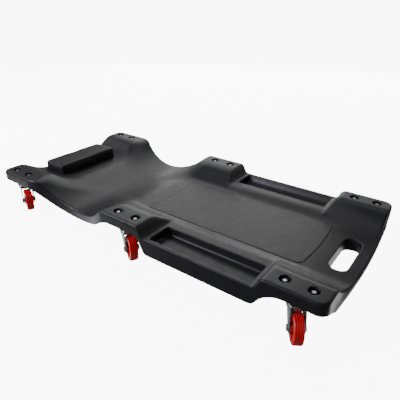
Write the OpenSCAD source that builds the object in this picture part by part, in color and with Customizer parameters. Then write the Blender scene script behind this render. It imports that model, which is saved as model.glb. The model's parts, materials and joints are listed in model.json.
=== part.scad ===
// Mechanics creeper: a hollow blow-moulded deck on six swivel casters, with two tool trays,
// a carrying slot and a padded headrest. All sizes are in millimetres.
//
// +X runs from the headrest to the carrying slot, +Y to the left of a person who lies on
// the deck, and +Z up. The origin is on the floor, under the middle of the deck.

/* [Deck] */
// Length of the deck
deck_l = 1003; // [996:1:1008]
// Width over the caster pads
deck_w = 480; // [478:1:484]
// Height of the caster pads' top faces above the floor
pad_top_z = 113; // [111:0.5:115]
// Height of the pads' undersides, where the caster plates bolt on
pad_under_z = 84; // [83:0.5:85]
// Height of the lying surface
lying_z = 76; // [75:0.5:77]
// Height of the lying surface beside the carrying slot
foot_z = 67; // [66:0.5:68]
// Height of the deck's flat underside
belly_z = 41; // [40:0.5:42]
// Wall thickness of the moulding
wall = 3; // [2.5:0.1:3.5]

/* [Shoulder scoop] */
// Where the deck's top is lowest, along X
scoop_x = -212.5; // [-216:0.5:-209]
// Height of the top face there
scoop_z = 54; // [53:0.5:55]
// Radius of the scoop in the top face
scoop_r = 178; // [174:1:182]
// Half width of the deck between the arm cutouts
shoulder_y = 207; // [204:1:210]
// Radius of the arm cutouts
shoulder_r = 295; // [285:1:305]

/* [Tool trays] */
// Inner length of a tray's well
well_l = 264; // [258:1:265]
// Inner width of a tray's well
well_w = 69; // [64:1:70]
// Height of the tray's rim
rim_z = 86; // [85:0.5:87]
// Height of the tray's floor
tray_floor_z = 65; // [61:0.5:67]

/* [Carrying slot] */
// Length of the slot, across the deck
slot_l = 138; // [124:1:144]
// Width of the slot
slot_w = 41; // [38:1:44]

/* [Headrest] */
// Size of the headrest along the deck
headrest_l = 85; // [80:1:88]
// Size of the headrest across the deck
headrest_w = 214; // [200:1:220]
// Height of the headrest above the lying surface
headrest_h = 30; // [26:1:34]

/* [Casters] */
// Wheel diameter
wheel_d = 63.5; // [60:0.5:65]
// Width of the tread
tread_w = 20; // [18:0.5:24]
// Horizontal distance from the swivel axis to the axle
trail = 25; // [23:0.5:28]
// Distance between a caster plate's two bolts
bolt_pitch = 57; // [56:0.5:58]

/* [Hidden] */
$fn = 72;
half_l = deck_l / 2;
half_w = deck_w / 2;

// Caster stations along X, and how far each right-hand caster's trail is turned from +X.
// The left-hand casters mirror them.
station_x = [-441.5, -11.5, 429.5];
station_turn = [-26, -31, -57];
station_y = 211;

// The pads' inner edges, where the cross slopes reach the pads' height
flat_half = 112;
slope_half = 176;
belly_half = 140;
belly_top_half = 148;

// The underside of the shoulder scoop
under_scoop_x = scoop_x - 12;
under_scoop_z = scoop_z - 24.5;
under_scoop_r = scoop_r + 16;

// Tool trays: ends of the tray's rim, lean of the pads' end walls, then the well
tray_x0 = 63.5;
tray_x1 = 349.5;
pad_end_lean = 14;
well_x0 = 76.5;
well_y0 = 162;
well_corner_r = 7;

// The tray block's leaning head end under the mid pads: half of its run, the height of its
// upper bevel, and how far its foot stands out past the tray's rim
block_lean = 17;
block_bevel = 8;
block_foot = 2;

// The underside's curve from the tray up to the foot pads
haunch_x = 359.5;
haunch_r = 28;

// The handle end: flat part of the floor, dish radius and ramp, then the rounded nose and
// how far from its edge the underside starts to rise to it
foot_flat_half = 80;
foot_dish_r = 130;
ramp_x = [303.5, 398.5, 433.5];
nose_r = 10;
nose_rise = 24;
foot_lip_z = foot_z - 4;
foot_pad_end = half_l - 5.5;
end_arc_r = 1340;
head_corner_r = 20;
foot_corner_r = 22;

// Bevels along the pads' top edges, and along all lower edges
top_bevel = 3;
low_bevel = 6;

// Where the arm cutouts are deepest, along X
shoulder_x = -226.5;

// The raised panel
panel_x0 = -39.5;
panel_x1 = 390.5;
panel_half = 101;
panel_rise = 1;
panel_corner_r = 16;
panel_sag = 5;
panel_foot_r = 700;
panel_head_r = 1000;

// The carrying slot's centre
slot_x = 453.5;

// Fasteners: M8 bolts in pockets in the pads
pocket_r = 11;
pocket_floor_z = pad_top_z - 16;
bolt_r = 4;
bolt_clear_r = 4.3;
bolt_head_r = 7.5;
bolt_head_h = 3.6;
bolt_end_gap = 3;
washer_r = 8.5;
washer_t = 1.6;
nut_h = 8;
nut_flats = 13;

// Stiffening grooves in the underside
groove_r = 9;
groove_x = [-26.5, 388.5];
groove_y = [-104, -52, 0, 52, 104];

// Headrest: cover skin, board and screws
headrest_x = -438.5;
cover_t = 1.2;
board_t = 6;
cover_corner_r = 9;
screw_r = 2.5;
screw_y = 70;
screw_pocket_r = 9;
screw_seat_z = lying_z - 6;
screw_head_r = 5.5;
screw_head_h = 3.2;

// Caster stack, measured down from the pad's underside
plate_t = 2.5;
plate_r = 23;
ear_r = 11;
dish_r = 15;
dish_drop = 3;
race_r = 17;
race_out_r = 20.4;
ball_r = 2.5;
ball_z = -6;
ball_count = 18;
ball_gap = 0.08;
crown_top = -7.4;
crown_t = 3;
crown_r = 21;
kingpin_r = 5;
kingpin_head_r = 8.5;
kingpin_end = -14;

// Fork, axle and wheel
leg_t = 2.4;
leg_in = tread_w / 2 + 3.5;
leg_end_r = 10;
leg_lean = 19;
axle_r = 4;
axle_head_r = 6.5;
axle_out = 3;
axle_z = wheel_d / 2 - pad_under_z;
bushing_r = 6;
core_r = 23.5;
hub_r = 12;
web_half = 7;
run_gap = 0.08;

// ---- Helpers ----

// Extrudes a profile drawn in (x, z) along Y, centred on y = 0.
module along_y(depth) {
    rotate([90, 0, 0]) linear_extrude(depth, center = true) children();
}

// Extrudes a profile drawn in (y, z) along X, centred on x = 0.
module along_x(depth) {
    rotate([90, 0, 90]) linear_extrude(depth, center = true) children();
}

// A rectangle between two corners.
module box2(low, high) {
    translate(low) square(high - low);
}

// A rectangle between two corners, with round corners.
module rounded_box2(low, high, r) {
    box2([low.x + r, low.y], [high.x - r, high.y]);
    box2([low.x, low.y + r], [high.x, high.y - r]);
    for (x = [low.x + r, high.x - r], y = [low.y + r, high.y - r])
        translate([x, y]) circle(r);
}

// Two circles of different radius, d apart along X, joined by their common tangents.
module tangent_pair(r0, r1, d) {
    a = acos((r0 - r1) / d);
    circle(r0);
    translate([d, 0]) circle(r1);
    polygon([
        [r0 * cos(a), r0 * sin(a)],
        [r0 * cos(a), -r0 * sin(a)],
        [d + r1 * cos(a), -r1 * sin(a)],
        [d + r1 * cos(a), r1 * sin(a)]]);
}

// ---- Deck ----

// Side view of everything below the top face, each face moved inwards by t.
module top_side_profile(t) {
    difference() {
        polygon([
            [-half_l + t, 0], [half_l, 0], [half_l, pad_top_z - t],
            [-half_l + top_bevel + t, pad_top_z - t], [-half_l + t, pad_top_z - top_bevel - t]]);
        translate([scoop_x, scoop_z + scoop_r]) circle(scoop_r + t, $fn = 144);
        polygon([
            [tray_x0 - pad_end_lean - t, pad_top_z + 1],
            [tray_x0 - t, rim_z - t],
            [tray_x1 + t, rim_z - t],
            [tray_x1 + pad_end_lean + t, pad_top_z + 1]]);
    }
}

// End view of everything below the top face: flat in the middle, sloping up to the pads.
module top_cross_profile(t) {
    slope = (pad_top_z - lying_z) / (slope_half - flat_half);
    drop = t * sqrt(1 + slope * slope);
    slope_top = slope_half + (drop - t) / slope;
    flat = flat_half + (drop - t) / slope;
    side = half_w - t;
    right = [
        [side, 0], [side, pad_top_z - top_bevel - t], [side - top_bevel, pad_top_z - t],
        [slope_top, pad_top_z - t], [flat, lying_z - t]];
    left = [for (i = [len(right) - 1 : -1 : 0]) [-right[i].x, right[i].y]];
    polygon(concat(right, left));
}

// The outline from above. The nose runs past the pads' ends at the foot end.
module plan_outline(t) {
    difference() {
        union() {
            rounded_box2([-half_l + t, -half_w + t], [0, half_w - t], head_corner_r - t);
            rounded_box2(
                [-50, -half_w + t], [foot_pad_end - t, half_w - t], foot_corner_r - t);
            box2([0, -station_y / 2 - 20], [half_l, station_y / 2 + 20]);
        }
        for (s = [-1, 1])
            translate([shoulder_x, s * (shoulder_y + shoulder_r)])
                circle(shoulder_r + t, $fn = 144);
    }
}

// Limits the foot end: a round-rimmed disc as the nose, and above it the pads' ends.
module foot_end(t) {
    inner = end_arc_r - nose_r;
    translate([half_l - end_arc_r, 0, 0]) rotate_extrude($fn = 720) {
        polygon([
            [0, 0], [inner - nose_rise, 0], [inner - nose_rise, belly_z + t],
            [inner, foot_z - 2 * nose_r + t], [inner, foot_z], [0, foot_z]]);
        translate([inner, foot_z - nose_r]) circle(nose_r - t);
    }
    translate([-half_l - 1, -half_w - 1, foot_lip_z + t])
        cube([half_l + 1 + foot_pad_end - t, deck_w + 2, pad_top_z]);
}

// Side view of the space below the deck beside the belly, grown upwards by t.
module under_side_profile(t) {
    b = low_bevel;
    difference() {
        polygon([
            [-half_l - 1, -1], [half_l + 1, -1], [half_l + 1, pad_under_z + b + t],
            [foot_pad_end, pad_under_z + b + t], [foot_pad_end - b, pad_under_z + t],
            [-half_l + b, pad_under_z + t], [-half_l, pad_under_z + b + t],
            [-half_l - 1, pad_under_z + b + t]]);
        translate([under_scoop_x, under_scoop_z + under_scoop_r])
            circle(under_scoop_r - t, $fn = 144);
        difference() {
            polygon([
                [tray_x0 + t - block_lean, pad_under_z - block_bevel],
                [tray_x0 + t - block_foot, belly_z + b + t],
                [tray_x0 + t - block_foot + b, belly_z + t],
                [tray_x1 - b - t, belly_z + t], [tray_x1 - t, belly_z + b + t],
                [haunch_x - t, pad_under_z - haunch_r],
                [haunch_x + haunch_r, pad_under_z - haunch_r],
                [haunch_x + haunch_r, pad_under_z + t + 1],
                [tray_x0 + t - 2 * block_lean, pad_under_z + t + 1]]);
            translate([haunch_x + haunch_r, pad_under_z - haunch_r]) circle(haunch_r + t);
        }
    }
}

// End view of the space below the deck: shallow under the belly, open under the pads.
module under_cross_profile(t) {
    polygon([
        [-half_w - 5, -1], [half_w + 5, -1], [half_w + 5, pad_top_z],
        [belly_top_half - t, pad_top_z], [belly_top_half - t, pad_under_z],
        [belly_half - t, belly_z + t], [-belly_half + t, belly_z + t],
        [-belly_top_half + t, pad_under_z], [-belly_top_half + t, pad_top_z],
        [-half_w - 5, pad_top_z]]);
}

// The dished lower floor at the handle end, cut from above.
module foot_dish(t) {
    slope = (lying_z - foot_z) / (ramp_x[2] - ramp_x[1]);
    intersection() {
        along_x(3 * deck_l) union() {
            box2([-foot_flat_half, foot_z - t], [foot_flat_half, pad_top_z + 20]);
            for (s = [-1, 1])
                translate([s * foot_flat_half, foot_z + foot_dish_r])
                    circle(foot_dish_r + t, $fn = 144);
        }
        along_y(deck_w + 20) polygon([
            [ramp_x[0], foot_z + slope * (ramp_x[2] - ramp_x[0]) - t],
            [ramp_x[2], foot_z - t],
            [ramp_x[2] + 12, foot_z - t - 6],
            [half_l + 20, foot_z - t - 6],
            [half_l + 20, pad_top_z + 5],
            [ramp_x[0], pad_top_z + 5]]);
    }
}

// Bevels the deck's lower outer edges: each span is [x0, x1, height of the edge].
module low_bevels(t) {
    spans = [
        [-half_l - 1, tray_x0 - 2 * block_lean, pad_under_z],
        [tray_x0 - block_foot - 1, haunch_x, belly_z],
        [haunch_x + haunch_r, half_l, pad_under_z]];
    for (side = [-1, 1], span = spans)
        translate([span[0], side * (half_w - t), span[2] + t])
            rotate([45, 0, 0])
                translate([0, -low_bevel / sqrt(2), -low_bevel / sqrt(2)])
                    cube([span[1] - span[0], sqrt(2) * low_bevel, sqrt(2) * low_bevel]);
}

// The deck's whole outer form, with each face moved inwards by t.
module deck_form(t) {
    difference() {
        intersection() {
            along_y(deck_w + 2) top_side_profile(t);
            along_x(deck_l + 20) top_cross_profile(t);
            linear_extrude(pad_top_z + 1) plan_outline(t);
            foot_end(t);
        }
        intersection() {
            along_y(deck_w + 4) under_side_profile(t);
            along_x(deck_l + 30) under_cross_profile(t);
        }
        foot_dish(t);
        low_bevels(t);
    }
}

// Calls its children once at each caster bolt, at floor height.
module at_bolts() {
    for (x = station_x, e = [-1, 1], s = [-1, 1])
        translate([x + e * bolt_pitch / 2, s * station_y, 0]) children();
}

// A tray's well, or with grow the block of material round it.
module well(s, grow = 0) {
    low = [well_x0 - grow, well_y0 - grow];
    high = [well_x0 + well_l + grow, well_y0 + well_w + (grow > 0 ? half_w : 0)];
    mirror([0, s < 0 ? 1 : 0, 0])
        translate([0, 0, tray_floor_z - grow])
            linear_extrude(pad_top_z) rounded_box2(low, high, well_corner_r);
}

module slot_outline(grow = 0) {
    r = slot_w / 2;
    reach = slot_l / 2 - r;
    box2([slot_x - r - grow, -reach], [slot_x + r + grow, reach]);
    for (s = [-1, 1]) translate([slot_x, s * reach]) circle(r + grow);
}

// The raised panel: its head end is hollow, and its foot end bulges.
module panel_outline() {
    bulge_half = panel_half - panel_corner_r;
    difference() {
        union() {
            box2([panel_x0, -panel_half], [panel_x0 + 60, panel_half]);
            rounded_box2([0, -panel_half], [panel_x1, panel_half], panel_corner_r);
        }
        translate([panel_x0 + panel_sag - panel_head_r, 0]) circle(panel_head_r, $fn = 720);
    }
    intersection() {
        translate([panel_x1 + panel_sag - panel_foot_r, 0]) circle(panel_foot_r, $fn = 360);
        box2([panel_x1 - 20, -bulge_half], [panel_x1 + 20, bulge_half]);
    }
}

// Grooves pressed up into the belly, or with grow the skin round them.
module grooves(grow = 0) {
    for (y = groove_y)
        translate([groove_x[0] - grow, y, belly_z - 3])
            rotate([0, 90, 0])
                cylinder(r = groove_r + grow, h = groove_x[1] - groove_x[0] + 2 * grow);
}

// Pockets in the underside for the headrest's screws.
module screw_pockets() {
    for (s = [-1, 1])
        translate([headrest_x, s * screw_y, 0]) cylinder(r = screw_pocket_r, h = screw_seat_z);
}

// What stays solid inside the hollow deck.
module inner_walls() {
    for (s = [-1, 1]) well(s, wall);
    at_bolts() cylinder(r = pocket_r + wall, h = pad_top_z);
    linear_extrude(pad_top_z) slot_outline(wall);
    grooves(wall);
    for (s = [-1, 1])
        translate([headrest_x, s * screw_y, 0])
            cylinder(r = screw_pocket_r + wall, h = pad_top_z);
}

module deck() {
    color([0.09, 0.09, 0.1]) difference() {
        union() {
            deck_form(0);
            translate([0, 0, lying_z - 1]) linear_extrude(1 + panel_rise) panel_outline();
        }
        difference() {
            deck_form(wall);
            inner_walls();
        }
        for (s = [-1, 1]) well(s);
        linear_extrude(pad_top_z) slot_outline();
        at_bolts() {
            cylinder(r = bolt_clear_r, h = pad_top_z);
            translate([0, 0, pocket_floor_z]) cylinder(r = pocket_r, h = pad_top_z);
        }
        grooves();
        screw_pockets();
        for (s = [-1, 1])
            translate([headrest_x, s * screw_y, 0]) cylinder(r = screw_r + 0.3, h = pad_top_z);
    }
}

// ---- Headrest ----

module headrest_outline(inset = 0) {
    rounded_box2(
        [headrest_x - headrest_l / 2 + inset, -headrest_w / 2 + inset],
        [headrest_x + headrest_l / 2 - inset, headrest_w / 2 - inset],
        cover_corner_r - inset);
}

module headrest_board() {
    color([0.45, 0.36, 0.25]) difference() {
        translate([0, 0, lying_z]) linear_extrude(board_t) headrest_outline(cover_t);
        for (s = [-1, 1])
            translate([headrest_x, s * screw_y, 0]) cylinder(r = screw_r, h = pad_top_z);
    }
}

module headrest_foam() {
    color([0.2, 0.2, 0.21])
        translate([0, 0, lying_z + board_t])
            linear_extrude(headrest_h - board_t - cover_t) headrest_outline(cover_t);
}

module headrest_cover() {
    color([0.05, 0.05, 0.05]) difference() {
        translate([0, 0, lying_z]) linear_extrude(headrest_h) headrest_outline();
        translate([0, 0, lying_z - 1])
            linear_extrude(headrest_h - cover_t + 1) headrest_outline(cover_t);
    }
}

module headrest_screws() {
    color([0.7, 0.7, 0.72]) for (s = [-1, 1])
        translate([headrest_x, s * screw_y, screw_seat_z - screw_head_h]) {
            cylinder(r = screw_head_r, h = screw_head_h);
            cylinder(r = screw_r, h = screw_head_h + lying_z - screw_seat_z + board_t - 1);
        }
}

// ---- Caster bolts ----

module caster_bolts() {
    top = pad_top_z - bolt_end_gap;
    color([0.75, 0.76, 0.78]) at_bolts() {
        translate([0, 0, pad_under_z - plate_t]) cylinder(r = bolt_r, h = top - pad_under_z + plate_t);
        translate([0, 0, pad_under_z - plate_t - bolt_head_h])
            cylinder(r1 = bolt_head_r - 1.5, r2 = bolt_head_r, h = bolt_head_h);
    }
}

module caster_washers() {
    color([0.7, 0.71, 0.73]) at_bolts()
        translate([0, 0, pocket_floor_z]) difference() {
            cylinder(r = washer_r, h = washer_t);
            translate([0, 0, -1]) cylinder(r = bolt_clear_r, h = washer_t + 2);
        }
}

module caster_nuts() {
    color([0.2, 0.2, 0.22]) at_bolts()
        translate([0, 0, pocket_floor_z + washer_t]) difference() {
            cylinder(r = nut_flats / 2 / cos(30), h = nut_h, $fn = 6);
            translate([0, 0, -1]) cylinder(r = bolt_r, h = nut_h + 2);
        }
}

// ---- Casters ----
// Each piece is drawn with the swivel axis on Z, the plate's top face at z = 0 and the
// trail along +X.

module plate() {
    color([0.72, 0.74, 0.76]) difference() {
        union() {
            for (a = [0, 180]) rotate(a) translate([0, 0, -plate_t])
                linear_extrude(plate_t) tangent_pair(plate_r, ear_r, bolt_pitch / 2);
            translate([0, 0, -plate_t - dish_drop]) cylinder(r = dish_r, h = plate_t);
            translate([0, 0, -plate_t - 1.7]) cylinder(r = race_out_r, h = 2);
        }
        translate([0, 0, -dish_drop]) cylinder(r1 = dish_r - 4, r2 = dish_r - 2, h = dish_drop + 1);
        translate([0, 0, -20]) cylinder(r = kingpin_r, h = 30);
        for (e = [-1, 1])
            translate([e * bolt_pitch / 2, 0, -10]) cylinder(r = bolt_clear_r, h = 20);
        ball_track();
    }
}

// The round track that the balls run in, cut from the plate and from the crown.
module ball_track() {
    translate([0, 0, ball_z]) rotate_extrude() translate([race_r, 0]) circle(ball_r + ball_gap);
}

module balls() {
    color([0.8, 0.8, 0.82]) for (i = [0 : ball_count - 1])
        rotate(i * 360 / ball_count) translate([race_r, 0, ball_z]) sphere(ball_r, $fn = 24);
}

module kingpin() {
    color([0.75, 0.76, 0.78]) {
        translate([0, 0, -dish_drop]) cylinder(r = kingpin_head_r, h = dish_drop - 0.5);
        translate([0, 0, kingpin_end]) cylinder(r = kingpin_r, h = -kingpin_end - 1);
        translate([0, 0, kingpin_end])
            cylinder(r1 = kingpin_head_r - 2, r2 = kingpin_head_r,
                     h = crown_top - crown_t - 0.2 - kingpin_end);
    }
}

// Side view of a fork leg, in (x, z): wide at the crown and narrow at the axle.
module leg_profile() {
    top = crown_top - crown_t / 2;
    translate([trail, axle_z]) circle(leg_end_r);
    polygon([
        [-leg_lean, top], [leg_lean, top], [leg_lean + 6, top - 9],
        [trail + leg_end_r, axle_z + 4], [trail + leg_end_r, axle_z],
        [trail - leg_end_r, axle_z], [trail - leg_end_r, axle_z + 2],
        [-leg_lean, top - 7]]);
}

module fork() {
    color([0.7, 0.73, 0.74]) difference() {
        union() {
            intersection() {
                translate([0, 0, crown_top - crown_t]) cylinder(r = crown_r + 4, h = crown_t);
                translate([-leg_lean, -leg_in - leg_t, crown_top - crown_t])
                    cube([2 * leg_lean, 2 * (leg_in + leg_t), crown_t]);
            }
            translate([0, 0, crown_top - crown_t]) cylinder(r = crown_r, h = crown_t);
            for (s = [-1, 1])
                translate([0, s * (leg_in + leg_t / 2), 0]) along_y(leg_t) leg_profile();
        }
        ball_track();
        translate([0, 0, crown_top - 10]) cylinder(r = kingpin_r + run_gap, h = 20);
        translate([trail, 0, axle_z]) rotate([90, 0, 0])
            cylinder(r = axle_r, h = 80, center = true);
    }
}

module axle() {
    out = leg_in + leg_t;
    color([0.75, 0.76, 0.78]) translate([trail, 0, axle_z]) {
        rotate([90, 0, 0]) cylinder(r = axle_r, h = 2 * (out + axle_out), center = true);
        translate([0, -out, 0]) rotate([90, 0, 0]) cylinder(r = axle_head_r, h = axle_out);
    }
    color([0.6, 0.61, 0.63]) translate([trail, out, axle_z]) rotate([-90, 0, 0]) difference() {
        cylinder(r = nut_flats / 2 / cos(30), h = axle_out - 0.4, $fn = 6);
        translate([0, 0, -1]) cylinder(r = axle_r, h = axle_out + 1);
    }
}

module bushing() {
    color([0.6, 0.61, 0.63]) translate([trail, 0, axle_z]) rotate([90, 0, 0]) difference() {
        cylinder(r = bushing_r, h = 2 * leg_in, center = true);
        cylinder(r = axle_r, h = 80, center = true);
    }
}

// Turns a profile drawn in (radius, y) about the wheel's axle.
module about_axle() {
    translate([trail, 0, axle_z]) rotate([90, 0, 0]) rotate_extrude() children();
}

module core() {
    hub_half = leg_in - 1;
    color([0.62, 0.05, 0.06]) about_axle() polygon([
        [bushing_r + run_gap, -hub_half], [hub_r, -hub_half], [hub_r + 1.5, -web_half],
        [core_r - 3, -web_half], [core_r, -tread_w / 2 + 1], [core_r, tread_w / 2 - 1],
        [core_r - 3, web_half], [hub_r + 1.5, web_half], [hub_r, hub_half],
        [bushing_r + run_gap, hub_half]]);
}

module tread() {
    crown = 4;
    color([0.85, 0.05, 0.07]) about_axle() union() {
        box2([core_r, -tread_w / 2], [wheel_d / 2 - crown, tread_w / 2]);
        box2([core_r, -tread_w / 2 + crown], [wheel_d / 2, tread_w / 2 - crown]);
        for (s = [-1, 1])
            translate([wheel_d / 2 - crown, s * (tread_w / 2 - crown)]) circle(crown);
    }
}

module caster_piece(piece) {
    if (piece == "plate") plate();
    if (piece == "balls") balls();
    if (piece == "kingpin") kingpin();
    if (piece == "fork") fork();
    if (piece == "axle") axle();
    if (piece == "bushing") bushing();
    if (piece == "core") core();
    if (piece == "tread") tread();
}

// Puts a caster piece at station i, on side s (-1 right, 1 left). The plate, its balls and
// its kingpin stay square to the deck, and the rest turns with the trail.
module at_station(i, s, piece) {
    fixed = piece == "plate" || piece == "balls" || piece == "kingpin";
    mirror([0, s > 0 ? 1 : 0, 0])
        translate([station_x[i], -station_y, pad_under_z])
            rotate(fixed ? 0 : station_turn[i]) caster_piece(piece);
}

deck();
headrest_board();
headrest_foam();
headrest_cover();
headrest_screws();
caster_bolts();
caster_washers();
caster_nuts();
for (i = [0 : 2], side = [["right", -1], ["left", 1]],
     piece = ["plate", "balls", "kingpin", "fork", "axle", "bushing", "core", "tread"]) {
    name = str(["head", "mid", "foot"][i], "_", side[0], "_", piece);
    at_station(i, side[1], piece);
}
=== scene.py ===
"""Mechanics creeper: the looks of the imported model.

Blender's lengths are in metres, in the CAD's frame: +X from the headrest to the carrying slot, +Y to the left
of a person who lies on the deck, +Z up, origin on the floor. The distance fields work in millimetres.
"""

import json
import math

import bpy
import numpy as np
from mathutils import Matrix, Vector


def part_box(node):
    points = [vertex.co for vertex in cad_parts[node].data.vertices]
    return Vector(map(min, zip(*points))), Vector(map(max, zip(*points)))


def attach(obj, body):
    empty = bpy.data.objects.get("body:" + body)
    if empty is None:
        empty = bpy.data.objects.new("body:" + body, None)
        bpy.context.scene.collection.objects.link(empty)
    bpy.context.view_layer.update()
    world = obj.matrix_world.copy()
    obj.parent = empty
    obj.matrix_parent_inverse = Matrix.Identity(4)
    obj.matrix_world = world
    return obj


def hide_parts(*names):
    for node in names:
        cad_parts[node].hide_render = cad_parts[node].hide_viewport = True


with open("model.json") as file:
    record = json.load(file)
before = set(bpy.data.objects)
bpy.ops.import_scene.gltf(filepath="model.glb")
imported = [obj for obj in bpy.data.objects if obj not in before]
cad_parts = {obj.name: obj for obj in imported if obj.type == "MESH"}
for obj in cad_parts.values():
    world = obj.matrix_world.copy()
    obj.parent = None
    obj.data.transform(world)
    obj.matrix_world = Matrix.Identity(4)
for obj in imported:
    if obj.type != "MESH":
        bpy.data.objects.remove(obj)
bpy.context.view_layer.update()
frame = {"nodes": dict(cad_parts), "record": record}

MM = 0.001
JOINTS = {joint["name"]: joint for joint in frame["record"]["behaviour"]["joints"]}
ENDS = ("head", "mid", "foot")
SIDES = ("right", "left")


def mm_box(node):
    """A node's lowest and highest corners, in millimetres."""
    return [np.array(corner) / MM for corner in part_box(node)]


# ---- Camera ----

VIEW_AZIMUTH = math.radians(35.68)
VIEW_ELEVATION = math.radians(27.09)
VIEW_ROLL = math.radians(0.58)
VIEW_TARGET = Vector((0.0201, 0.0462, 0.0549))
VIEW_DISTANCE = 1.1488
LENS = 35.78
SENSOR = 36.0


def make_camera():
    """A camera on the view's line of sight, with the view's small roll."""
    a, e, r = VIEW_AZIMUTH, VIEW_ELEVATION, VIEW_ROLL
    back = Vector((math.sin(a) * math.cos(e), -math.cos(a) * math.cos(e), math.sin(e)))
    level = Vector((math.cos(a), math.sin(a), 0))
    rise = back.cross(level)
    right = math.cos(r) * level + math.sin(r) * rise
    up = math.cos(r) * rise - math.sin(r) * level
    data = bpy.data.cameras.new("camera")
    data.lens = LENS
    data.sensor_width = SENSOR
    camera = bpy.data.objects.new("camera", data)
    turn = Matrix((right, up, back)).transposed().to_4x4()
    camera.matrix_world = Matrix.Translation(VIEW_TARGET + VIEW_DISTANCE * back) @ turn
    bpy.context.scene.collection.objects.link(camera)
    bpy.context.scene.camera = camera


make_camera()


# ---- Materials ----


class Shader:
    """A Principled material and the few node chains that its looks need."""

    def __init__(self, name, **values):
        self.material = bpy.data.materials.new(name)
        self.material.use_nodes = True
        self.tree = self.material.node_tree
        self.bsdf = self.tree.nodes["Principled BSDF"]
        self.coords = self.node("ShaderNodeTexCoord").outputs["Object"]
        for socket, value in values.items():
            self.bsdf.inputs[socket.replace("_", " ")].default_value = value

    def node(self, kind, **props):
        made = self.tree.nodes.new(kind)
        for key, value in props.items():
            setattr(made, key, value)
        return made

    def link(self, a, b):
        self.tree.links.new(a, b)

    def stretched(self, scale):
        """The object's coordinates, scaled along each axis."""
        mapping = self.node("ShaderNodeMapping")
        mapping.inputs["Scale"].default_value = scale
        self.link(self.coords, mapping.inputs["Vector"])
        return mapping.outputs["Vector"]

    def noise(self, size, detail=3.0, rough=0.55, stretch=None):
        """Noise whose features are about size metres across."""
        made = self.node("ShaderNodeTexNoise")
        made.inputs["Scale"].default_value = 1.0 / size
        made.inputs["Detail"].default_value = detail
        made.inputs["Roughness"].default_value = rough
        self.link(self.stretched(stretch) if stretch else self.coords, made.inputs["Vector"])
        return made.outputs["Fac"]

    def cells(self, size, feature="F1"):
        made = self.node("ShaderNodeTexVoronoi", feature=feature)
        made.inputs["Scale"].default_value = 1.0 / size
        self.link(self.coords, made.inputs["Vector"])
        return made.outputs["Distance"]

    def ranged(self, source, low, high, from_low=0.3, from_high=0.7):
        made = self.node("ShaderNodeMapRange")
        limits = {"From Min": from_low, "From Max": from_high, "To Min": low, "To Max": high}
        for socket, value in limits.items():
            made.inputs[socket].default_value = value
        self.link(source, made.inputs["Value"])
        return made.outputs["Result"]

    def colours(self, source, dark, light, at=(0.3, 0.7)):
        ramp = self.node("ShaderNodeValToRGB")
        for stop, place, colour in zip(ramp.color_ramp.elements, at, (dark, light)):
            stop.position = place
            stop.color = (*colour, 1.0)
        self.link(source, ramp.inputs["Fac"])
        self.link(ramp.outputs["Color"], self.bsdf.inputs["Base Color"])
        return ramp.outputs["Color"]

    def roughness(self, source, low, high):
        self.link(self.ranged(source, low, high), self.bsdf.inputs["Roughness"])

    def bumps(self, *layers):
        """Stacks bumps: each layer is (source, height in metres)."""
        normal = None
        for source, height in layers:
            made = self.node("ShaderNodeBump")
            made.inputs["Strength"].default_value = 1.0
            made.inputs["Distance"].default_value = height
            self.link(source, made.inputs["Height"])
            if normal:
                self.link(normal, made.inputs["Normal"])
            normal = made.outputs["Normal"]
        self.link(normal, self.bsdf.inputs["Normal"])


def deck_plastic():
    """Satin black polyethylene: fine moulded grain, a slight cloudiness and faint scuffs."""
    s = Shader("deck_plastic", Specular_IOR_Level=0.38)
    s.colours(s.noise(0.06, 4.0), (0.011, 0.011, 0.0125), (0.016, 0.016, 0.018))
    s.roughness(s.noise(0.012, 5.0), 0.36, 0.46)
    s.bumps((s.noise(0.0009, 2.0), 0.00004), (s.noise(0.03, 2.0), 0.00012))
    return s.material


def vinyl():
    """Black vinyl with a pebbled leather grain."""
    s = Shader("vinyl", Specular_IOR_Level=0.4)
    s.colours(s.noise(0.02, 4.0), (0.006, 0.006, 0.007), (0.012, 0.012, 0.013))
    s.roughness(s.noise(0.004, 4.0), 0.42, 0.58)
    s.bumps((s.cells(0.0016), 0.00012), (s.noise(0.0006, 2.0), 0.00003))
    return s.material


def zinc(name, dark, light, low, high):
    """Zinc-plated pressed steel: cloudy spangle and fine drawn scratches."""
    s = Shader(name, Metallic=1.0)
    s.colours(s.noise(0.004, 5.0), dark, light)
    s.roughness(s.noise(0.0015, 4.0, stretch=(1.0, 1.0, 0.2)), low, high)
    s.bumps((s.noise(0.0004, 2.0, stretch=(1.0, 1.0, 0.1)), 0.00001))
    return s.material


def red_tread():
    """Glossy red polyurethane, a little cloudy, with fine rolling scuffs."""
    s = Shader("red_tread", Specular_IOR_Level=0.5, Coat_Weight=0.3, Coat_Roughness=0.1)
    s.colours(s.noise(0.01, 4.0), (0.82, 0.004, 0.008), (0.94, 0.006, 0.012))
    s.roughness(s.noise(0.003, 4.0), 0.26, 0.40)
    s.bumps((s.noise(0.002, 3.0), 0.00004))
    return s.material


def red_core():
    s = Shader("red_core", Specular_IOR_Level=0.5)
    s.colours(s.noise(0.008, 4.0), (0.55, 0.003, 0.006), (0.66, 0.004, 0.008))
    s.roughness(s.noise(0.002, 4.0), 0.36, 0.5)
    s.bumps((s.noise(0.0012, 3.0), 0.00003))
    return s.material


def plain_wood():
    s = Shader("board_wood")
    s.colours(s.noise(0.02, 6.0, stretch=(8.0, 1.0, 8.0)), (0.25, 0.16, 0.08), (0.42, 0.29, 0.16))
    s.roughness(s.noise(0.004), 0.6, 0.8)
    s.bumps((s.noise(0.003, 4.0, stretch=(8.0, 1.0, 8.0)), 0.0001))
    return s.material


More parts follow.
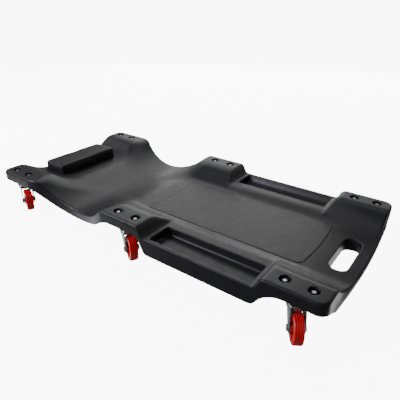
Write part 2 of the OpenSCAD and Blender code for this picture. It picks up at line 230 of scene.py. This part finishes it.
def open_foam():
    s = Shader("open_foam")
    s.colours(s.noise(0.01, 4.0), (0.10, 0.10, 0.11), (0.20, 0.20, 0.21))
    s.roughness(s.noise(0.002), 0.85, 1.0)
    s.bumps((s.cells(0.0012), 0.0004))
    return s.material


def floor_white():
    """A matt white studio floor, lit from under as well, as a light table is."""
    s = Shader("floor_white", Emission_Strength=9.0)
    s.bsdf.inputs["Emission Color"].default_value = (1.0, 1.0, 1.0, 1.0)
    s.colours(s.noise(0.5, 2.0), (0.80, 0.80, 0.80), (0.84, 0.84, 0.84))
    s.roughness(s.noise(0.1), 0.85, 0.95)
    return s.material


MATERIALS = {
    "deck_plastic": deck_plastic(),
    "vinyl": vinyl(),
    "zinc_steel": zinc("zinc_steel", (0.36, 0.41, 0.41), (0.50, 0.56, 0.56), 0.28, 0.45),
    "ball_steel": zinc("ball_steel", (0.62, 0.62, 0.64), (0.72, 0.72, 0.74), 0.08, 0.16),
    "black_steel": zinc("black_steel", (0.012, 0.012, 0.013), (0.03, 0.03, 0.033), 0.45, 0.6),
    "wheel_tread": red_tread(),
    "wheel_core": red_core(),
    "board": plain_wood(),
    "foam": open_foam(),
}


def dress(obj, slot):
    obj.data.materials.clear()
    obj.data.materials.append(MATERIALS[slot])


for part in frame["record"]["subparts"]:
    dress(frame["nodes"][part["node"]], part["material_slot"])


# ---- Distance fields ----
# A field is negative inside its solid. All of them are in millimetres.


def rounded_and(a, b, r):
    """What is inside both, with the edge between them rounded to radius r."""
    return np.minimum(-r, np.maximum(a, b)) + np.hypot(np.maximum(a + r, 0), np.maximum(b + r, 0))


def rounded_or(a, b, r):
    """What is inside either, with the valley between them filled to radius r."""
    return np.maximum(r, np.minimum(a, b)) - np.hypot(np.maximum(r - a, 0), np.maximum(r - b, 0))


def cut(solid, hole, r):
    """The solid without the hole, with the hole's lip rounded to radius r."""
    return rounded_and(solid, -hole, r)


def slope(u, v, start, end):
    """Distance to the left of the line from start to end, in the (u, v) plane."""
    du, dv = end[0] - start[0], end[1] - start[1]
    return ((v - start[1]) * du - (u - start[0]) * dv) / math.hypot(du, dv)


def rounded_box2(u, v, low, high, r):
    """A rectangle with round corners."""
    cu, cv = (low[0] + high[0]) / 2, (low[1] + high[1]) / 2
    qu = np.abs(u - cu) - (high[0] - low[0]) / 2 + r
    qv = np.abs(v - cv) - (high[1] - low[1]) / 2 + r
    return np.hypot(np.maximum(qu, 0), np.maximum(qv, 0)) + np.minimum(np.maximum(qu, qv), 0) - r


def ring(u, v, radius, half_u, half_v, r):
    """A ring about an axis: u is the distance from the axis and v the place along it."""
    return rounded_box2(u, v, (radius - half_u, -half_v), (radius + half_u, half_v), r)


def smooth_step(value, low, high):
    t = np.clip((value - low) / (high - low), 0, 1)
    return t * t * (3 - 2 * t)


def steps(start, end, coarse, fine, *fine_spans):
    """Grid lines from start to end, closer together inside the fine spans."""
    lines = [start]
    while lines[-1] < end:
        at = lines[-1]
        near = any(a <= at < b for a, b in fine_spans)
        ahead = min((a - at for a, b in fine_spans if a > at), default=coarse)
        lines.append(at + (fine if near else min(coarse, max(fine, ahead))))
    return np.array(lines)


def mirrored(lines):
    return np.concatenate([-lines[::-1], lines])


def surface_net(field, xs, ys, zs):
    """A closed quad mesh on the field's zero surface, with one vertex in each crossed cell."""
    grid = field(xs[:, None, None], ys[None, :, None], zs[None, None, :])
    inside = grid < 0
    counts = [len(xs) - 1, len(ys) - 1, len(zs) - 1]
    corners = [(i, j, k) for i in (0, 1) for j in (0, 1) for k in (0, 1)]
    total = sum(
        inside[i:counts[0] + i, j:counts[1] + j, k:counts[2] + k].astype(np.int8) for i, j, k in corners)
    ci, cj, ck = np.nonzero((total > 0) & (total < 8))
    lines = (xs, ys, zs)
    base = (ci, cj, ck)
    place = np.zeros((len(ci), 3))
    hits = np.zeros(len(ci))
    for axis in range(3):
        for a, b in ((0, 0), (0, 1), (1, 0), (1, 1)):
            low = [c.copy() for c in base]
            others = [n for n in range(3) if n != axis]
            low[others[0]] += a
            low[others[1]] += b
            high = [c.copy() for c in low]
            high[axis] += 1
            f0, f1 = grid[tuple(low)], grid[tuple(high)]
            crossed = (f0 < 0) != (f1 < 0)
            share = np.where(crossed, f0 / np.where(crossed, f0 - f1, 1), 0)
            point = np.stack([lines[n][low[n]] for n in range(3)], 1)
            point[:, axis] += share * (lines[axis][high[axis]] - lines[axis][low[axis]])
            place += point * crossed[:, None]
            hits += crossed
    place /= hits[:, None]
    index = np.full(counts, -1, np.int64)
    index[ci, cj, ck] = np.arange(len(ci))
    quads = []
    for axis in range(3):
        first = np.moveaxis(inside, axis, 0)
        cells = np.moveaxis(index, axis, 0)
        a, b = first[:-1, 1:-1, 1:-1], first[1:, 1:-1, 1:-1]
        i, j, k = np.nonzero(a != b)
        quad = np.stack([cells[i, j, k], cells[i, j + 1, k], cells[i, j + 1, k + 1], cells[i, j, k + 1]], 1)
        flip = a[i, j, k] != (axis == 1)
        quad[~flip] = quad[~flip][:, ::-1]
        quads.append(quad)
    return place, np.concatenate(quads)


LEAST_SLOPE = 0.05
MOST_MOVE = 1.5


def gradient(field, p, h=0.05):
    parts = []
    for axis in range(3):
        step = np.zeros(3)
        step[axis] = h
        parts.append(field(*(p + step).T) - field(*(p - step).T))
    return np.stack(parts, 1) / (2 * h)


def settle(field, p, rounds=3):
    """Moves points onto the field's zero surface."""
    for _ in range(rounds):
        g = gradient(field, p)
        size = np.maximum((g * g).sum(1), LEAST_SLOPE)
        move = g * (field(*p.T) / size)[:, None]
        p = p - np.clip(move, -MOST_MOVE, MOST_MOVE)
    return p


# ---- Pieces ----


def add_object(name, mesh, body, slot, *replaced):
    obj = bpy.data.objects.new(name, mesh)
    bpy.context.scene.collection.objects.link(obj)
    dress(obj, slot)
    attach(obj, body)
    if replaced:
        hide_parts(*replaced)
    return obj


def mesh_of(name, points, faces):
    """A smoothly shaded mesh from points in millimetres."""
    mesh = bpy.data.meshes.new(name)
    mesh.from_pydata((np.asarray(points) * MM).tolist(), [], [list(map(int, face)) for face in faces])
    mesh.shade_smooth()
    return mesh


def apply_modifiers(obj):
    """Replaces the object's mesh with what its modifiers make of it."""
    made = obj.evaluated_get(bpy.context.evaluated_depsgraph_get())
    mesh = bpy.data.meshes.new_from_object(made)
    obj.modifiers.clear()
    old, obj.data = obj.data, mesh
    bpy.data.meshes.remove(old)


def vertex_array(mesh, kind="co"):
    flat = np.empty(3 * len(mesh.vertices))
    mesh.vertices.foreach_get(kind, flat)
    return flat.reshape(-1, 3)


def field_mesh(name, field, lines, keep):
    """A mesh on a field's surface, thinned to a share of its faces, and shaded by the field's slope."""
    points, quads = surface_net(field, *lines)
    mesh = mesh_of(name, settle(field, points), quads)
    holder = bpy.data.objects.new(name, mesh)
    bpy.context.scene.collection.objects.link(holder)
    thin = holder.modifiers.new("thin", "DECIMATE")
    thin.ratio = keep
    apply_modifiers(holder)
    mesh = holder.data
    bpy.data.objects.remove(holder)
    g = gradient(field, vertex_array(mesh) / MM)
    g /= np.maximum(np.linalg.norm(g, axis=1), 1e-6)[:, None]
    mesh.shade_smooth()
    mesh.normals_split_custom_set_from_vertices(g.tolist())
    return mesh


# ---- Deck ----

DECK_LOW, DECK_HIGH = mm_box("deck")
HALF_L, HALF_W, PAD_TOP = DECK_HIGH
PAD_UNDER = mm_box("head_right_plate")[1][2]
LYING, FOOT, BELLY = 76.0, 67.0, 41.0
BANK = (112.0, 176.0)
SCOOP_X, SCOOP_Z, SCOOP_R = -212.5, 54.0, 178.0
UNDER_X, UNDER_Z, UNDER_R = SCOOP_X - 3.5, SCOOP_Z - 27.0, SCOOP_R + 28.0
ARM_X, ARM_Y, ARM_R = -226.5, 207.0, 295.0
RIM, TRAY_FLOOR = 86.0, 65.0
TRAY_X = (63.5, 349.5)
PAD_END_LEAN = 14.0
WELL_LOW, WELL_HIGH, WELL_R = (76.5, 162.0), (340.5, 231.0), 7.0
WELL_DRAFT = 0.12
OUTER_LEAN = math.radians(26.0)
SLOT_X, SLOT_HALF, SLOT_R = 453.5, 69.0, 20.5
FOOT_END, DISC_R, NOSE_R = HALF_L - 8.0, 1340.0, 10.0
NOSE_Z, NOSE_TAPER = FOOT - NOSE_R, 0.25
STATIONS = [JOINTS[f"{end}_right_turn"]["pos_m"][0] / MM for end in ENDS]
STATION_Y = -JOINTS["head_right_turn"]["pos_m"][1] / MM
SWEEP_R = 60.0
BOLT_HALF = 28.5
POCKET_R, POCKET_FLOOR = 11.0, PAD_TOP - 16.0
PANEL_X, PANEL_HALF, PANEL_RISE = (-39.5, 390.5), 101.0, 1.0
PANEL_CORNER, PANEL_BOW = 16.0, 5.0
HOLLOW_R, BULGE_R, BULGE_HALF = 1000.0, 700.0, 84.0
BANK_FILLET, BANK_FILLET_X = (6.0, 17.0), (20.0, 140.0)
SCOOP_LIP = 30.0
DISH_HALF, DISH_R, DISH_BOTTOM_R, DISH_LIP = 80.0, 130.0, 40.0, 12.0
RAMP_X = (398.5, 433.5)
PAD_TOP_R, GAP_FLOOR_R, GAP_LIP = 8.0, 6.0, 8.0
HEAD_CORNER, FOOT_CORNER, ARM_LIP = 20.0, 22.0, 10.0
END_DROP, NOSE_BLEND = 4.0, 20.0
BLOCK_R, UNDER_FILLET, UNDER_SCOOP_R, BELLY_BLEND = 8.0, (12.5, 26.0), 16.0, 10.0
BELLY_HALF, BELLY_HALF_TOP = 140.0, 148.0
FLARE, FLARE_X = 80.0, (440.0, 475.0)
PAD_EDGE, TRAY_EDGE, SHARP_EDGE = 5.5, 3.0, 0.5
HEAD_LOW_EDGE = 3.5


def lying_form(x, y, z):
    """Everything below the lying surface, with its banks, the shoulder scoop and the foot dish."""
    side = np.abs(y)
    bank = slope(side, z, (BANK[0], LYING), (BANK[1], PAD_TOP))
    scoop = np.hypot(x - SCOOP_X, z - SCOOP_Z - SCOOP_R) - SCOOP_R
    dish = np.where(
        side < DISH_HALF, FOOT - z, np.hypot(side - DISH_HALF, z - FOOT - DISH_R) - DISH_R)
    ramp = -slope(x, z, (RAMP_X[0], LYING), (RAMP_X[1], FOOT))
    fillet = BANK_FILLET[0] + (BANK_FILLET[1] - BANK_FILLET[0]) * smooth_step(-x, *BANK_FILLET_X)
    form = rounded_or(z - LYING, bank, fillet)
    form = cut(form, scoop, SCOOP_LIP)
    return cut(form, rounded_and(dish, ramp, DISH_BOTTOM_R), DISH_LIP)


def top_form(x, y, z):
    """Everything below the top faces: the lying form, cut level at the pads and at the tray rims."""
    mid_pad = slope(x, z, (TRAY_X[0] - PAD_END_LEAN, PAD_TOP), (TRAY_X[0], RIM))
    foot_pad = slope(x, z, (TRAY_X[1], RIM), (TRAY_X[1] + PAD_END_LEAN, PAD_TOP))
    pads = np.minimum(mid_pad, foot_pad)
    gap = rounded_and(RIM - z, -pads, GAP_FLOOR_R)
    return cut(rounded_and(lying_form(x, y, z), z - PAD_TOP, PAD_TOP_R), gap, GAP_LIP)


def plan_walls(x, y, foot_x):
    """The outline from above, out to foot_x at the foot end, with the arm cutouts."""
    corner = np.where(x < 0, HEAD_CORNER, FOOT_CORNER)
    walls = rounded_box2(x, y, (-HALF_L, -HALF_W), (foot_x, HALF_W), corner)
    arm = np.hypot(x - ARM_X, np.abs(y) - ARM_Y - ARM_R) - ARM_R
    return cut(walls, arm, ARM_LIP)


def foot_end(x, y, z):
    """The nose, a wide disc's round rim, joined to the pads' ends above it."""
    reach = np.hypot(x - HALF_L + DISC_R, y) - (DISC_R - NOSE_R)
    nose = np.hypot(np.maximum(reach, 0), z - NOSE_Z) - NOSE_R + NOSE_TAPER * np.minimum(reach, 0)
    ends = rounded_and(plan_walls(x, y, FOOT_END), FOOT - END_DROP - z, 4.0)
    return rounded_or(nose, ends, NOSE_BLEND)


def solid_below(x, y, z):
    """Everything above the underside: pads, scoop, tray block with its haunch, and belly.

    The belly flares out under the foot end's pads, and is cut clear of the wheels that swing there.
    """
    scoop = np.hypot(x - UNDER_X, z - UNDER_Z - UNDER_R) - UNDER_R
    lean = -slope(x, z, (TRAY_X[0] - 17.0, PAD_UNDER - 8.0), (TRAY_X[0] - 2.0, BELLY + 6.0))
    haunch = -slope(x, z, (TRAY_X[1], BELLY), (TRAY_X[1] + 10.0, BELLY + 15.0))
    block = rounded_and(rounded_and(lean, BELLY - z, BLOCK_R), haunch, BLOCK_R)
    side = rounded_or(PAD_UNDER - z, block, np.where(x > 200.0, UNDER_FILLET[1], UNDER_FILLET[0]))
    side = rounded_or(side, scoop, UNDER_SCOOP_R)
    flare = FLARE * smooth_step(x, *FLARE_X) * np.clip((z - BELLY) / (PAD_UNDER - BELLY), 0, 1)
    flank = slope(z, np.abs(y) - flare, (BELLY, BELLY_HALF), (PAD_UNDER, BELLY_HALF_TOP))
    belly = rounded_and(flank, BELLY - z, BLOCK_R)
    sweep = np.hypot(x - STATIONS[2], np.abs(y) - STATION_Y) - SWEEP_R
    return rounded_or(side, cut(belly, sweep, 3.0), BELLY_BLEND)


def panel_outline(x, y):
    """The raised panel's outline: a hollow head end and a bulging foot end."""
    straight = rounded_box2(x, y, (PANEL_X[0] - 40.0, -PANEL_HALF), (PANEL_X[1], PANEL_HALF), PANEL_CORNER)
    hollow = np.hypot(x - PANEL_X[0] - PANEL_BOW + HOLLOW_R, y) - HOLLOW_R
    bulge = np.hypot(x - PANEL_X[1] - PANEL_BOW + BULGE_R, y) - BULGE_R
    bulge = np.maximum(bulge, np.abs(y) - BULGE_HALF)
    return np.maximum(np.minimum(straight, np.maximum(bulge, PANEL_X[1] - 20.0 - x)), -hollow)


def top_edge(x, side):
    """Radius of the top's outer edge: soft on the pads, tighter on the tray rims, none at the nose."""
    past_mid_pad = smooth_step(x, TRAY_X[0] - 12.0, TRAY_X[0] + 8.0)
    before_foot_pad = smooth_step(-x, -TRAY_X[1] - 12.0, -TRAY_X[1] + 8.0)
    tray = past_mid_pad * before_foot_pad
    radius = PAD_EDGE - (PAD_EDGE - TRAY_EDGE) * tray
    nose = smooth_step(x, 425.0, 445.0) * (1 - smooth_step(side, 85.0, 125.0))
    return radius * (1 - nose) + SHARP_EDGE * nose


def deck_field(x, y, z):
    """The deck: its outside, then the tray wells, the slot, the panel and its groove, and the bolt pockets."""
    side = np.abs(y)
    walls = np.maximum(plan_walls(x, y, 2 * HALF_L), foot_end(x, y, z))
    solid = rounded_and(top_form(x, y, z), walls, top_edge(x, side))
    low_edge = SHARP_EDGE + HEAD_LOW_EDGE * smooth_step(-x, -485.0, -460.0)
    solid = rounded_and(solid, solid_below(x, y, z), low_edge)
    well = rounded_box2(x, side, WELL_LOW, WELL_HIGH, WELL_R) + WELL_DRAFT * (RIM - z)
    outer = (side - WELL_HIGH[1]) * math.cos(OUTER_LEAN) + (RIM - z) * math.sin(OUTER_LEAN)
    well = rounded_and(well, outer, 3.0)
    solid = cut(solid, rounded_and(well, TRAY_FLOOR - z, 6.0), 2.2)
    slot = np.hypot(x - SLOT_X, np.maximum(side - SLOT_HALF + SLOT_R, 0)) - SLOT_R
    solid = cut(solid, slot, 3.0)
    panel = rounded_and(panel_outline(x, y), np.abs(z - LYING) - PANEL_RISE, 0.7)
    solid = rounded_or(solid, panel, 0.4)
    solid = cut(solid, np.hypot(panel_outline(x, y) - 0.6, z - LYING) - 0.8, 0.3)
    station = np.minimum.reduce([np.abs(np.abs(x - s) - BOLT_HALF) for s in STATIONS])
    pocket = np.hypot(station, side - STATION_Y) - POCKET_R
    return cut(solid, rounded_and(pocket, POCKET_FLOOR - z, 0.5), 1.2)


def deck_lines():
    fine_x = ((-41.5, -32.5), (72.5, 80.5), (336.5, 344.5), (383.5, 399.5))
    fine_y = ((98.0, 104.0), (158.0, 166.0), (227.0, 241.0))
    coarse = 3.0
    xs = steps(-HALF_L - 6.0, HALF_L + 6.0, coarse, 1.0, *fine_x)
    ys = mirrored(steps(coarse / 2, HALF_W + 6.0, coarse, 1.0, *fine_y))
    zs = steps(20.0, PAD_TOP + 5.0, coarse * 0.9, 0.7, (73.0, 78.0))
    return xs, ys, zs


add_object("deck_moulding", field_mesh("deck_moulding", deck_field, deck_lines(), 0.3),
           "deck", "deck_plastic", "deck")


# ---- Headrest ----

CUSHION_SWELL = 2.5
CUSHION_CORNER, CUSHION_EDGE, CUSHION_LEAN = 6.0, 3.5, 0.02
FOOT_TRIM = 4.0  # the block is made this much deeper, and the rest is pressed flat at the foot
SEAM_DROP, SEAM_WIDTH, SEAM_DEPTH = 5.0, 1.3, 1.0
CLOTH_PRESSURE, CLOTH_STEPS = 4.0, 20


def swell(obj, cap):
    """Blows a closed mesh up as cloth under pressure. A point moves outwards only, by cap metres at most."""
    start, normals = vertex_array(obj.data), vertex_array(obj.data, "normal")
    cloth = obj.modifiers.new("cloth", "CLOTH")
    cloth.settings.use_pressure = True
    cloth.settings.uniform_pressure_force = CLOTH_PRESSURE
    cloth.settings.effector_weights.gravity = 0.0
    scene = bpy.context.scene
    for step in range(1, CLOTH_STEPS + 1):
        scene.frame_set(step)
    apply_modifiers(obj)
    scene.frame_set(1)
    move = ((vertex_array(obj.data) - start) * normals).sum(1)
    held = start + normals * np.clip(move, 0.0, cap)[:, None]
    obj.data.vertices.foreach_set("co", held.ravel())
    obj.data.update()


def sew(obj, foot, top):
    """Presses a puckered seam in below the top edge, and flattens what is below the cushion's foot."""
    points, normals = vertex_array(obj.data) / MM, vertex_array(obj.data, "normal")
    away = (points[:, 2] - (top - SEAM_DROP)) / SEAM_WIDTH
    upright = smooth_step(np.hypot(normals[:, 0], normals[:, 1]), 0.5, 0.9)
    along = points[:, 0] - points[:, 1]
    pucker = 1.0 + 0.35 * np.sin(along * 2 * math.pi / 9.0) + 0.15 * np.sin(along * 2 * math.pi / 5.3)
    depth = SEAM_DEPTH * np.exp(-away * away) * upright * pucker
    points -= normals * depth[:, None]
    points[:, 2] = np.maximum(points[:, 2], foot)
    obj.data.vertices.foreach_set("co", (points * MM).ravel())
    obj.data.update()


def make_headrest():
    """The vinyl headrest: a swollen block, flat where it meets the deck, and sewn round its top edge."""
    low, high = mm_box("headrest_cover")
    foot = low[2]
    low[2] -= FOOT_TRIM

    def block(x, y, z):
        plan = rounded_box2(x, y, low[:2], high[:2], CUSHION_CORNER)
        lean = CUSHION_LEAN * (z - low[2])
        level = np.abs(z - (low[2] + high[2]) / 2) - (high[2] - low[2]) / 2
        return rounded_and(plan + lean, level, CUSHION_EDGE)

    cell = 4.5
    lines = [np.arange(a - 2 * cell, b + 2 * cell, cell) for a, b in zip(low, high)]
    points, quads = surface_net(block, *lines)
    mesh = mesh_of("headrest_cushion", settle(block, points), quads)
    obj = add_object("headrest_cushion", mesh, "deck", "vinyl", "headrest_cover", "headrest_foam")
    swell(obj, CUSHION_SWELL * MM)
    fine = obj.modifiers.new("fine", "SUBSURF")
    fine.levels = fine.render_levels = 2
    apply_modifiers(obj)
    sew(obj, foot, high[2])
    obj.data.shade_smooth()


make_headrest()


# ---- Casters ----
# A caster's own frame has the swivel axis on Z, the plate's top at z = 0 and the trail along +X.

TRAIL = math.dist(JOINTS["mid_right_roll"]["pos_m"][:2], JOINTS["mid_right_turn"]["pos_m"][:2]) / MM
AXLE_Z = JOINTS["mid_right_roll"]["pos_m"][2] / MM - PAD_UNDER
WHEEL_R = JOINTS["mid_right_roll"]["pos_m"][2] / MM
TREAD_HALF, CORE_R, HUB_R, BORE_R = 10.0, 23.5, 12.0, 6.08
LEG_IN, LEG_T = 13.5, 2.4
CROWN_TOP, CROWN_T, CROWN_R = -7.4, 3.0, 21.0
SKIRT_R, SKIRT_T, SKIRT_LOW = 19.5, 1.6, -19.3
RACE_R, BALL_Z, TRACK_R = 17.0, -6.0, 2.8
LEG_END_R, AXLE_HOLE_R, KINGPIN_HOLE_R = 10.0, 4.0, 5.1
BEAD_PROUD, BEAD_WIDTH = 1.0, 4.0
WEB_HALF, RIB_COUNT, RIB_HALF, RIB_REACH, RIM_HALF = 3.0, 8, 1.3, 7.5, 2.3
SHOULDER_R, SHOULDER_FLAT = 3.2, 1.6
GROOVE_AT, GROOVE_DEPTH = (4.5, 0.4), 0.35


def leg_side(x, z):
    """Side view of the fork: wide at the crown, narrow and round at the axle."""
    front = slope(x, z, (TRAIL + 10.5, AXLE_Z), (25.0, CROWN_TOP - 12.0))
    rear = slope(x, z, (-19.0, CROWN_TOP - 8.0), (TRAIL - 10.5, AXLE_Z))
    blade = rounded_and(rounded_and(-front, -rear, 2.0), AXLE_Z - z, 2.0)
    blade = rounded_and(blade, np.abs(x) - 20.0 - np.maximum(-z - 12.0, 0.0), 4.0)
    return rounded_or(blade, np.hypot(x - TRAIL, z - AXLE_Z) - LEG_END_R, 2.0)


def fork_field(x, y, z):
    """A pressed steel fork: crown and skirt, two bent-down legs with a stiffening bead, ball track and holes."""
    bead_line = slope(x, z, (4.0, CROWN_TOP - 6.0), (TRAIL, AXLE_Z + 16.0))
    bead_span = smooth_step(-z, 16.0, 24.0) * smooth_step(z - AXLE_Z, 12.0, 20.0)
    bead = BEAD_PROUD * np.exp(-(bead_line / BEAD_WIDTH) ** 2) * bead_span
    side = np.abs(y) - bead
    out = LEG_IN + LEG_T
    outer = rounded_box2(side, z, (-out, -200.0), (out, CROWN_TOP), 5.0)
    inner = rounded_box2(side, z, (-LEG_IN, -200.0), (LEG_IN, CROWN_TOP - CROWN_T), 2.5)
    legs = rounded_and(rounded_and(outer, -inner, 0.6), leg_side(x, z), 0.7)
    crown = rounded_and(np.hypot(x, y) - CROWN_R, np.abs(z - CROWN_TOP + CROWN_T / 2) - CROWN_T / 2, 0.8)
    skirt = rounded_and(np.abs(np.hypot(x, y) - SKIRT_R + SKIRT_T / 2) - SKIRT_T / 2, SKIRT_LOW - z, 0.5)
    skirt = rounded_and(skirt, z - CROWN_TOP + 1.0, 0.5)
    solid = rounded_or(rounded_or(legs, crown, 1.5), skirt, 1.0)
    track = np.hypot(np.hypot(x, y) - RACE_R, z - BALL_Z) - TRACK_R
    solid = cut(solid, track, 0.3)
    solid = cut(solid, np.hypot(x, y) - KINGPIN_HOLE_R, 0.4)
    return cut(solid, np.hypot(x - TRAIL, z - AXLE_Z) - AXLE_HOLE_R, 0.3)


def core_field(x, y, z):
    """The wheel's moulded centre, with its axle along Y: hub, web, ribs and rim."""
    away, along = np.hypot(x, z), np.abs(y)
    hub = rounded_and(away - HUB_R, along - LEG_IN + 1.0, 1.0)
    rim = ring(away, along, CORE_R - RIM_HALF, RIM_HALF, TREAD_HALF - 0.8, 0.8)
    web = rounded_and(away - CORE_R + 1.0, along - WEB_HALF, 0.5)
    turn = np.arctan2(z, x)
    pitch = 2 * math.pi / RIB_COUNT
    spread = (turn / pitch - np.round(turn / pitch)) * pitch
    ribs = rounded_and(np.abs(away * np.sin(spread)) - RIB_HALF, along - RIB_REACH, 0.5)
    ribs = np.maximum(ribs, away - CORE_R + 1.0)
    solid = rounded_or(rounded_or(web, ribs, 0.8), rounded_or(hub, rim, 0.5), 1.0)
    return cut(solid, away - BORE_R, 0.4)


def lathe(profile, count):
    """Points and faces of a closed (radius, y) profile turned about the Y axis."""
    radius, along = np.array(profile).T
    turn = np.arange(count) * 2 * math.pi / count
    points = np.stack([
        np.outer(np.cos(turn), radius), np.tile(along, (count, 1)), np.outer(np.sin(turn), radius)], 2)
    size = len(profile)
    faces = []
    for i in range(count):
        for k in range(size):
            a, b = i * size + k, i * size + (k + 1) % size
            c, d = (i + 1) % count * size + (k + 1) % size, (i + 1) % count * size + k
            faces.append((a, b, c, d))
    return points.reshape(-1, 3), faces


def tread_profile():
    """Half round shoulders, a flat tread with a shallow groove near each edge, and the mould's parting line."""
    half = [(CORE_R, 0.0), (CORE_R, TREAD_HALF - 0.6), (CORE_R + 0.6, TREAD_HALF)]
    half.append((WHEEL_R - SHOULDER_R - SHOULDER_FLAT, TREAD_HALF))
    for turn in np.radians(np.arange(0, 91, 15)):
        half.append((WHEEL_R - SHOULDER_R + SHOULDER_R * math.sin(turn),
                     TREAD_HALF - SHOULDER_R + SHOULDER_R * math.cos(turn)))
    bottom = WHEEL_R - GROOVE_DEPTH
    for groove in GROOVE_AT:
        half += [(WHEEL_R, groove + 0.5), (bottom, groove + 0.15), (bottom, groove - 0.15)]
        half.append((WHEEL_R, groove - 0.5 + 0.11 * (groove < 1)))
    other = [(r, -y) for r, y in reversed(half[1:])]
    return half + other


def placed(mesh, turn):
    """A copy of a mesh, moved by a 4 x 4 matrix."""
    made = mesh.copy()
    made.transform(turn)
    return made


def make_casters():
    """Six casters from one fork, one wheel centre and one tread. The rest of each caster is its CAD nodes."""
    cell = 0.9
    fork_lines = (np.arange(-28.0, 42.0, cell), np.arange(-24.0, 24.1, cell), np.arange(-70.0, 0.0, cell))
    core_lines = (np.arange(-26.0, 26.1, cell), np.arange(-15.0, 15.1, cell), np.arange(-26.0, 26.1, cell))
    fork = field_mesh("fork_blank", fork_field, fork_lines, 0.5)
    core = field_mesh("core_blank", core_field, core_lines, 0.6)
    tread = mesh_of("tread_blank", *lathe(tread_profile(), 96))
    for end in ENDS:
        for side in SIDES:
            name = f"{end}_{side}"
            pivot = Vector(JOINTS[f"{name}_turn"]["pos_m"])
            axle = Vector(JOINTS[f"{name}_roll"]["pos_m"])
            heading = math.atan2(axle.y - pivot.y, axle.x - pivot.x)
            turn = Matrix.Rotation(heading, 4, "Z")
            at_pivot = Matrix.Translation(pivot) @ turn
            at_axle = Matrix.Translation(axle) @ turn
            swivel, wheel = f"{name}_swivel", f"{name}_wheel"
            add_object(f"{name}_fork_pressing", placed(fork, at_pivot), swivel, "zinc_steel", f"{name}_fork")
            add_object(f"{name}_wheel_centre", placed(core, at_axle), wheel, "wheel_core", f"{name}_core")
            add_object(f"{name}_wheel_tread", placed(tread, at_axle), wheel, "wheel_tread", f"{name}_tread")


make_casters()


# ---- Floor and light ----


FLOOR_R, BEND_R, WALL_TOP = 8.0, 2.0, 7.0


def make_floor():
    """A wide white floor that curves up into a wall.

    It shows, but it throws no light on the object, isn't reflected in it and casts no shadow, and its glow
    washes
    out the shadows that fall on it: the photograph is a cut-out on white.
    """
    rise = np.radians(np.arange(0, 91, 10))
    curve = [(FLOOR_R + BEND_R * math.sin(t), BEND_R - BEND_R * math.cos(t)) for t in rise]
    rings = [(0.5, 0.0), *curve, (FLOOR_R + BEND_R, WALL_TOP)]
    count = 96
    points = [(0.0, 0.0, 0.0)]
    for radius, height in rings:
        for turn in np.arange(count) * 2 * math.pi / count:
            points.append((radius * math.cos(turn), radius * math.sin(turn), height))
    faces = [(0, 1 + i, 1 + (i + 1) % count) for i in range(count)]
    for k in range(len(rings) - 1):
        a, b = 1 + k * count, 1 + (k + 1) * count
        faces += [(a + i, b + i, b + (i + 1) % count, a + (i + 1) % count) for i in range(count)]
    mesh = bpy.data.meshes.new("floor")
    mesh.from_pydata(points, [], faces)
    mesh.shade_smooth()
    obj = bpy.data.objects.new("floor", mesh)
    bpy.context.scene.collection.objects.link(obj)
    obj.data.materials.append(floor_white())
    obj.visible_diffuse = False
    obj.visible_glossy = False
    obj.visible_shadow = False


def area_light(name, azimuth, elevation, distance, size, power, colour=(1, 1, 1)):
    """A rectangular softbox that faces the object. Angles are in degrees, azimuth from +X towards +Y."""
    a, e = math.radians(azimuth), math.radians(elevation)
    place = distance * Vector((math.cos(a) * math.cos(e), math.sin(a) * math.cos(e), math.sin(e)))
    data = bpy.data.lights.new(name, "AREA")
    data.shape = "RECTANGLE"
    data.size, data.size_y = size
    data.energy = power
    data.color = colour
    light = bpy.data.objects.new(name, data)
    light.location = place
    light.rotation_euler = (-place).to_track_quat("-Z", "Y").to_euler()
    bpy.context.scene.collection.objects.link(light)


# Azimuth and elevation in degrees, distance and size in metres, power in watts, colour. The two lights with a
# negative elevation stand below the floor, which doesn't stop their light.
LIGHTS = {
    "far_low": (90.0, 12.0, 3.0, (1.4, 0.9), 8.0),
    "back_low": (120.0, 12.0, 3.0, (2.2, 0.9), 15.0),
    "back_high": (124.0, 40.0, 3.0, (2.2, 1.0), 20.0),
    "head_high": (180.0, 35.0, 3.0, (1.4, 0.9), 7.0),
    "foot_side": (45.0, 25.0, 3.0, (1.4, 0.9), 4.0),
    "front_left": (232.0, 30.0, 3.0, (1.4, 0.9), 70.0, (0.90, 0.89, 1.0)),
    "top": (100.0, 75.0, 3.0, (1.4, 0.9), 7.0),
    "under_head": (197.0, -26.0, 1.6, (1.2, 0.8), 5.0),
    "under_foot": (55.0, -35.0, 1.6, (1.2, 0.8), 6.0),
}
WORLD = 0.14


def make_light():
    world = bpy.data.worlds.new("studio")
    world.use_nodes = True
    world.node_tree.nodes["Background"].inputs["Color"].default_value = (1, 1, 1, 1)
    world.node_tree.nodes["Background"].inputs["Strength"].default_value = WORLD
    bpy.context.scene.world = world
    for name, values in LIGHTS.items():
        area_light(name, *values)


make_floor()
make_light()
